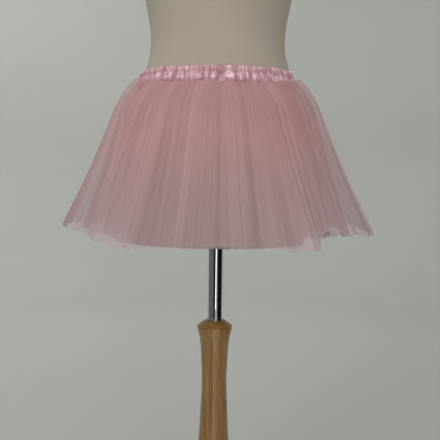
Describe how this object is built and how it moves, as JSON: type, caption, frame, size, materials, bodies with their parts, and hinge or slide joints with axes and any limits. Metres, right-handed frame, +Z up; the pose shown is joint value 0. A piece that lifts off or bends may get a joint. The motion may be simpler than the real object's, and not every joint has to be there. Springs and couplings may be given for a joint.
{
  "type": "tulle skirt on a limbless dress form with a wooden stand",
  "caption": "Short gathered tulle skirt with a satin casing waistband, worn by a limbless jersey dress form on a chrome pole, turned wooden post and round base.",
  "frame": {"origin": "on the floor, at the centre under the pole", "axes": "+Z up, front of the skirt towards -Y, +X to the viewer's right when facing the front"},
  "size_m": [0.5774, 0.499, 1.4993],
  "materials": {
    "jersey": "matte",
    "chrome_tube": "polished",
    "varnished_wood": "satin",
    "satin": "satin",
    "tulle": "matte"
  },
  "bodies": {
    "root": {"form_torso": "jersey", "form_neck_cap": "varnished_wood", "stand_pole": "chrome_tube", "stand_post": "varnished_wood", "stand_base": "varnished_wood", "skirt_waistband": "satin", "skirt_tulle_outer": "tulle", "skirt_tulle_middle": "tulle", "skirt_tulle_inner": "tulle"}
  },
  "joints": []
}
